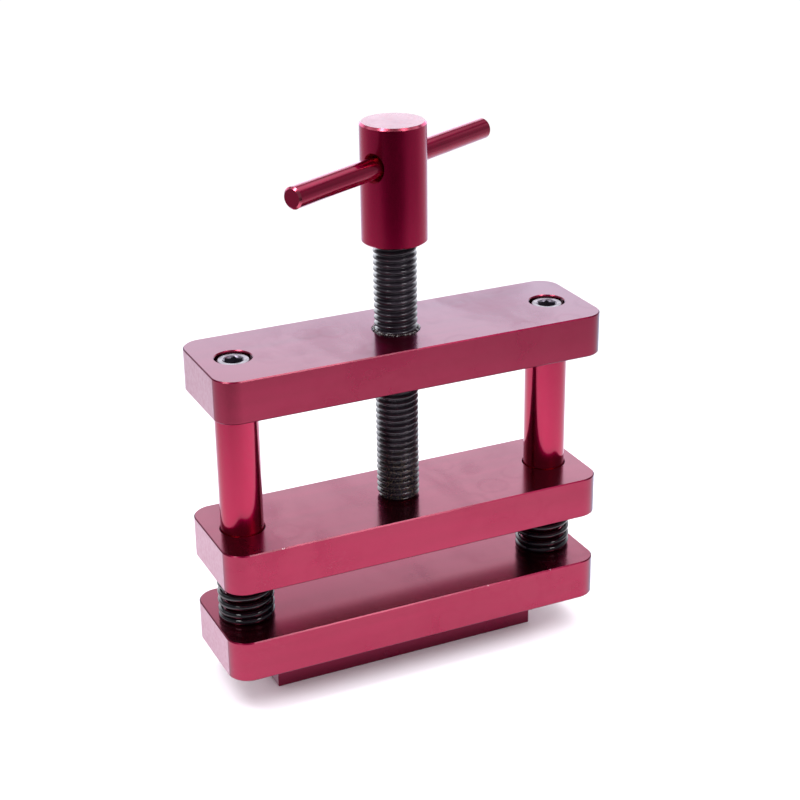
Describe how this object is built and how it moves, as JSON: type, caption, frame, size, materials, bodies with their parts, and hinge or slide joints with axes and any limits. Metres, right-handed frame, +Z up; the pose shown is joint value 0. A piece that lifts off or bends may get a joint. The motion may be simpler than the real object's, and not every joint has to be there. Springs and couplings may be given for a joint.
{
  "type": "screw press",
  "caption": "Vise-held twin-post screw press: a tommy bar turns a threaded screw that drives a sprung pressure plate along guide posts towards a base plate.",
  "frame": {"origin": "middle of the tang's underside, on the surface that the press stands on", "axes": "+X along the plates, +Y across them to the back, +Z up along the clamp screw"},
  "size_m": [0.1524, 0.0576, 0.2111],
  "materials": {
    "anodised_plate": "red anodised, satin from drawing, lightly polished",
    "anodised_polished": "red anodised over a turned and polished surface",
    "spring_steel": "gloss black coated spring wire",
    "black_steel": "black oxide, oiled",
    "bright_steel": "bright zinc, dark socket"
  },
  "bodies": {
    "frame": {"base_plate": "anodised_plate", "vise_tang": "anodised_plate", "guide_post_left": "anodised_polished", "guide_post_right": "anodised_polished", "return_spring_left": "spring_steel", "return_spring_right": "spring_steel", "top_plate": "anodised_plate", "top_cap_screw_left": "bright_steel", "top_cap_screw_right": "bright_steel", "base_cap_screw_left": "bright_steel", "base_cap_screw_right": "bright_steel", "tang_screw_left": "bright_steel", "tang_screw_right": "bright_steel"},
    "pressure": {"pressure_plate": "anodised_plate"},
    "screw": {"clamp_screw": "black_steel", "handle_hub": "anodised_polished", "tommy_bar": "anodised_polished", "hub_set_screw": "black_steel"}
  },
  "joints": [
    {"name": "plate_travel", "type": "slide", "parent": "frame", "child": "pressure", "axis": [0, 0, 1], "range_m": [-0.00317, 0.01357], "deforming": ["return_spring_left", "return_spring_right"]},
    {"name": "screw_turn", "type": "hinge", "parent": "pressure", "child": "screw", "pos_m": [0, 0, 0.06742], "axis": [0, 0, 1], "range_deg": [-495.5, 2115.5]}
  ],
  "couplings": [
    {"joint": "screw_turn", "follows": "plate_travel", "rad_per_m": 2721.1}
  ]
}
